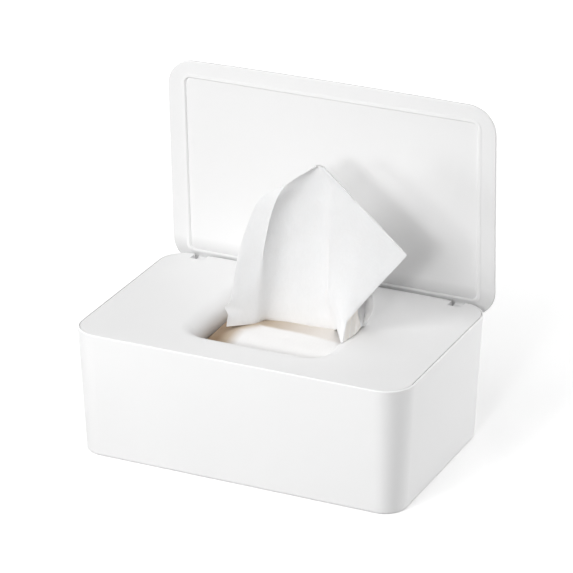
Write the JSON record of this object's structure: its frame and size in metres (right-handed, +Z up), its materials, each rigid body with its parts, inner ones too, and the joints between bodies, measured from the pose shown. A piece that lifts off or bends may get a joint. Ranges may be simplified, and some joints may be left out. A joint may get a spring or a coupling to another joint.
{
  "type": "wipes dispenser",
  "caption": "Countertop wipes box: a drafted rounded tub, a drop-in cover with a funnel-lipped outlet, and a flat hinged lid, shown open with one wipe drawn up.",
  "frame": {"origin": "centre of the tub's flat base, on the surface that the box stands on", "axes": "+X along the box's length, +Y to the rear where the lid is hinged, +Z up"},
  "size_m": [0.19, 0.1268, 0.1838],
  "materials": {
    "tub": "white moulded plastic with a fine satin texture",
    "top_cover": "white moulded plastic with a fine satin texture",
    "lid": "white moulded plastic with a fine satin texture",
    "lid_seal": "soft white silicone, dull",
    "hinge_pin": "drawn stainless wire, satin",
    "stacked_wipes": "moist spunlace nonwoven, matt, warm in its folds",
    "drawn_wipe": "thin white spunlace nonwoven, matt, slightly translucent"
  },
  "bodies": {
    "tub": {"tub": "tub", "wipe_stack": "stacked_wipes", "next_wipe": "stacked_wipes"},
    "cover": {"top_cover": "top_cover", "hinge_pin_left": "hinge_pin", "hinge_pin_right": "hinge_pin"},
    "lid": {"lid": "lid", "lid_seal": "lid_seal"},
    "drawn_wipe": {"drawn_wipe": "drawn_wipe"}
  },
  "joints": [
    {"name": "cover_lift", "type": "slide", "parent": "tub", "child": "cover", "axis": [0, 0, 1], "range_m": [0, 0.09]},
    {"name": "lid_hinge", "type": "hinge", "parent": "cover", "child": "lid", "pos_m": [0, 0.0575, 0.0646], "axis": [-1, 0, 0], "range_deg": [-87.4, 0], "deforming": ["drawn_wipe"]},
    {"name": "wipe_draw", "type": "slide", "parent": "cover", "child": "drawn_wipe", "axis": [0, 0, 1], "range_m": [0, 0.08]}
  ]
}
